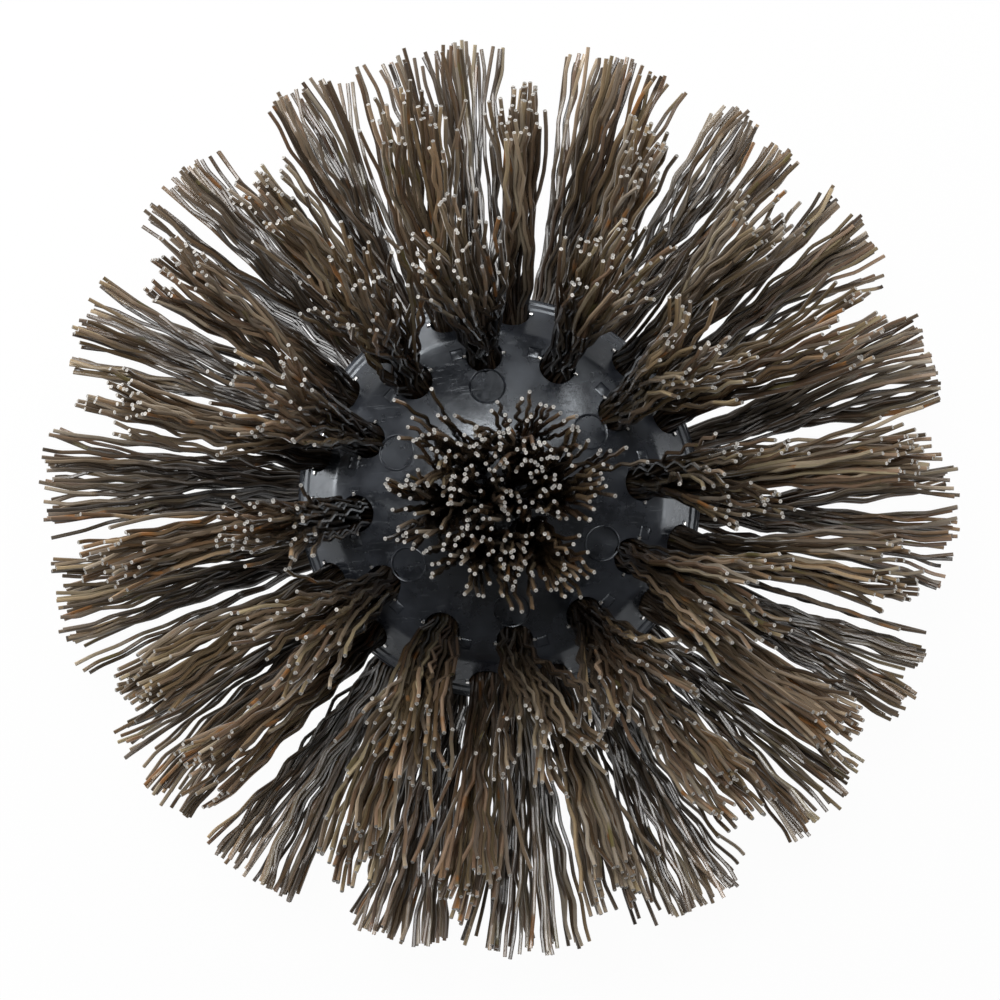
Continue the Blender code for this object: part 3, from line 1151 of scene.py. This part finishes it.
def tuftStrands(chance, ring):
    # (path, tone, mark, batch) of each filament in a tuft
    points = holePoints(chance)
    packed = max(p.length for p in points)
    fan = Matrix.Diagonal([reach / packed for reach in ring["tips"]])
    lean = randomStep(chance, ring["stray"]) + Vector((0, ring["lean"]))
    locks = []
    for centre in lockCentres(points, chance):
        locks.append(
            {
                "centre": centre,
                "tip": fan @ centre + lean + randomStep(chance, bristles["lockError"]),
                "open": chance.uniform(*ring["open"]),
                "shift": chance.random(),
                "around": chance.uniform(0, math.pi),
                "drift": [randomStep(chance, bristles["drift"]) for _ in range(2)],
                "tone": chance.gauss(*bristles["lockTone"]),
                "batch": chance.uniform(0, bristles["marks"]),
            }
        )
    strands = []
    for start in points:
        lock = min(locks, key=lambda each: (each["centre"] - start).length)
        tip = lock["tip"] + (start - lock["centre"]) * lock["open"]
        tip = tip + randomStep(chance, ring["scatter"])
        if chance.random() < ring["flopShare"]:
            tip = tip + chance.uniform(*ring["flopReach"]) * randomWay(chance)
        length = bristles["freeLength"] + chance.gauss(0, bristles["trimError"])
        around = lock["around"] + chance.gauss(0, bristles["turnError"])
        way = Vector((math.cos(around), math.sin(around)))
        height = chance.uniform(*bristles["crimp"])
        shift = (lock["shift"] + chance.gauss(0, bristles["shiftError"])) % 1
        ownDrift = bristles["drift"] * bristles["ownDriftShare"]
        drift = [d + randomStep(chance, ownDrift) for d in lock["drift"]]
        path = strandPath(start, tip, length, ring["bow"], way, height, shift, drift)
        tone = min(1, max(0, chance.gauss(lock["tone"], bristles["toneError"])))
        strands.append((path, tone, chance.uniform(0, bristles["marks"]), lock["batch"]))
    return strands


def makeTuft(name, seat, ring, chance):
    strands = tuftStrands(chance, ring)
    curve = bpy.data.curves.new(name, "CURVE")
    curve.dimensions = "3D"
    curve.bevel_depth = bristles["thick"] / 2
    curve.bevel_resolution = (bristles["sides"] - 4) // 2
    curve.use_fill_caps = True
    for path, *_ in strands:
        spline = curve.splines.new("POLY")
        spline.points.add(len(path) - 1)
        for point, local in zip(spline.points, path):
            point.co = (*(seat @ Vector(local)), 1)
    tuft = bpy.data.objects.new(name, curve)
    bpy.context.scene.collection.objects.link(tuft)
    pickOnly(tuft)
    bpy.ops.object.convert(target="MESH")
    tuft = bpy.context.active_object
    layStrands(tuft, strands, ring["dark"])
    trimEnds(tuft, seat)
    return tuft


def layStrands(tuft, strands, dark):
    # a tone, a mark, a batch and how fast its painted root shade fades for each filament, which its colours
    # are picked by, and a map with one filament beside the other, root at the bottom
    mesh = tuft.data
    perStrand = len(mesh.vertices) // len(strands)
    # the painted root shade of this ring's filaments reaches as far up as dark says
    shadeFade = mesh.attributes.new("shadeFade", "FLOAT", "POINT")
    shadeFade.data.foreach_set("value", [1 / dark] * len(mesh.vertices))
    for place, name in ((1, "tone"), (2, "mark"), (3, "batch")):
        own = mesh.attributes.new(name, "FLOAT", "POINT")
        own.data.foreach_set("value", [s[place] for s in strands for _ in range(perStrand)])
    strandMap = mesh.uv_layers[0]
    strandMap.name = "OFBake"
    corner = [0.0] * (2 * len(mesh.loops))
    strandMap.data.foreach_get("uv", corner)
    vertex = [0] * len(mesh.loops)
    mesh.loops.foreach_get("vertex_index", vertex)
    margin = bristles["mapMargin"]
    for i, v in enumerate(vertex):
        along, aside = corner[2 * i], corner[2 * i + 1]
        corner[2 * i] = (v // perStrand + margin + (1 - 2 * margin) * aside) / len(strands)
        corner[2 * i + 1] = along
    strandMap.data.foreach_set("uv", corner)


def trimEnds(tuft, seat):
    # each cut end gets a pale rim round a darker core, the rim partly a painted highlight
    tuft.data.materials.clear()
    for material in (bristle, endRim, endCore):
        tuft.data.materials.append(material)
    mouth, axis = seat.translation, seat.to_3x3().col[2]
    half = bristles["freeLength"] / 2
    pickFaces(
        tuft,
        lambda face: len(face.vertices) == 3 and (face.center - mouth).dot(axis) > half,
    )
    bpy.ops.mesh.dissolve_faces()
    tuft.active_material_index = 1
    bpy.ops.object.material_slot_assign()
    bpy.ops.mesh.inset(thickness=bristles["rimWidth"], use_individual=True)
    tuft.active_material_index = 2
    bpy.ops.object.material_slot_assign()
    objectMode()
    smoothPiece(tuft, tuft.name, bristles["smoothAngle"])


for ringName, ring in rings.items():
    for index in range(ring["count"]):
        chance = random.Random(ring["seed"] + index)
        node = f"{ringName}_tuft_{index + 1:02d}"
        seat = seatOf(ringName, index)
        tuft = makeTuft(f"{ringName}_bristles_{index + 1:02d}", seat, ring, chance)
        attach(tuft, "root")
        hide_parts(node)
    print(f"{ringName} ring of bristles made")


def whiteFloor():
    # white where it is seen or mirrored, a plain diffuse floor for all other light
    bpy.ops.mesh.primitive_plane_add(
        size=lighting["floorSize"], location=(0, 0, -lighting["floorDrop"])
    )
    floor = bpy.context.active_object
    floor.name = "floor"
    material, nodes, links, shader = newMaterial("whiteFloor")
    shader.inputs["Base Color"].default_value = (*lighting["floorColour"], 1)
    shader.inputs["Roughness"].default_value = lighting["floorRoughness"]
    shader.inputs["Specular IOR Level"].default_value = 0
    glow = nodes.new("ShaderNodeEmission")
    rays = nodes.new("ShaderNodeLightPath").outputs
    seen = addNodes(nodes, links, rays["Is Camera Ray"], rays["Is Glossy Ray"])
    seen = addNodes(nodes, links, seen, rays["Is Transmission Ray"])
    share = nodes.new("ShaderNodeMath")
    share.operation = "MULTIPLY"
    share.inputs[1].default_value = lighting["floorGlow"]
    links.new(seen, share.inputs[0])
    mix = nodes.new("ShaderNodeMixShader")
    links.new(share.outputs[0], mix.inputs[0])
    links.new(shader.outputs[0], mix.inputs[1])
    links.new(glow.outputs[0], mix.inputs[2])
    links.new(mix.outputs[0], nodes["Material Output"].inputs["Surface"])
    floor.data.materials.append(material)


def addNodes(nodes, links, first, second):
    total = nodes.new("ShaderNodeMath")
    total.operation = "ADD"
    total.use_clamp = True
    links.new(first, total.inputs[0])
    links.new(second, total.inputs[1])
    return total.outputs[0]


def pictureAxes():
    # the picture's right and up, in the brush's frame
    turn = -picture["turn"]
    right = Vector((math.cos(turn), math.sin(turn), 0))
    return right, Vector((-right.y, right.x, 0))


def softLamp(name, place, target, size, power):
    bpy.ops.object.light_add(type="AREA", location=place)
    lamp = bpy.context.active_object
    lamp.name = name
    lamp.rotation_euler = (target - place).to_track_quat("-Z", "Y").to_euler()
    lamp.data.shape = "DISK"
    lamp.data.size = size
    lamp.data.energy = power
    lamp.visible_camera = False


def lights():
    right, up = pictureAxes()
    target = Vector((0, 0, cadHigh.z / 2))
    for name, lamp in lighting["lamps"].items():
        aside = right * math.cos(lamp["round"]) + up * math.sin(lamp["round"])
        way = aside * math.sin(lamp["slant"]) + Vector((0, 0, math.cos(lamp["slant"])))
        softLamp(name, target + way * lighting["lampAway"], target, lamp["size"], lamp["power"])
    world = bpy.data.worlds.new("room")
    bpy.context.scene.world = world
    world.use_nodes = True
    nodes, links = world.node_tree.nodes, world.node_tree.links
    background = nodes["Background"]
    background.inputs["Color"].default_value = (*lighting["room"], 1)
    seen = nodes.new("ShaderNodeLightPath").outputs["Is Camera Ray"]
    strength = nodes.new("ShaderNodeMix")
    strength.inputs[2].default_value = lighting["roomStrength"]
    strength.inputs[3].default_value = 1
    links.new(seen, strength.inputs[0])
    links.new(strength.outputs[0], background.inputs["Strength"])


def camera():
    right, up = pictureAxes()
    perPixel = picture["sensor"] / picture["lens"] * picture["distance"] / picture["side"]
    middle = picture["side"] / 2
    aside = right * (middle - picture["axisAt"][0]) + up * (picture["axisAt"][1] - middle)
    height = seatOf("side", 0).translation.z + picture["distance"]
    place = aside * perPixel + Vector((0, 0, height))
    bpy.ops.object.camera_add(location=place, rotation=(0, 0, -picture["turn"]))
    eye = bpy.context.active_object
    eye.data.lens = picture["lens"]
    eye.data.sensor_width = picture["sensor"]
    eye.data.clip_start = picture["nearClip"]
    bpy.context.scene.camera = eye


whiteFloor()
lights()
camera()
bpy.context.scene.view_settings.view_transform = "Standard"
print("floor, lamps and camera set")
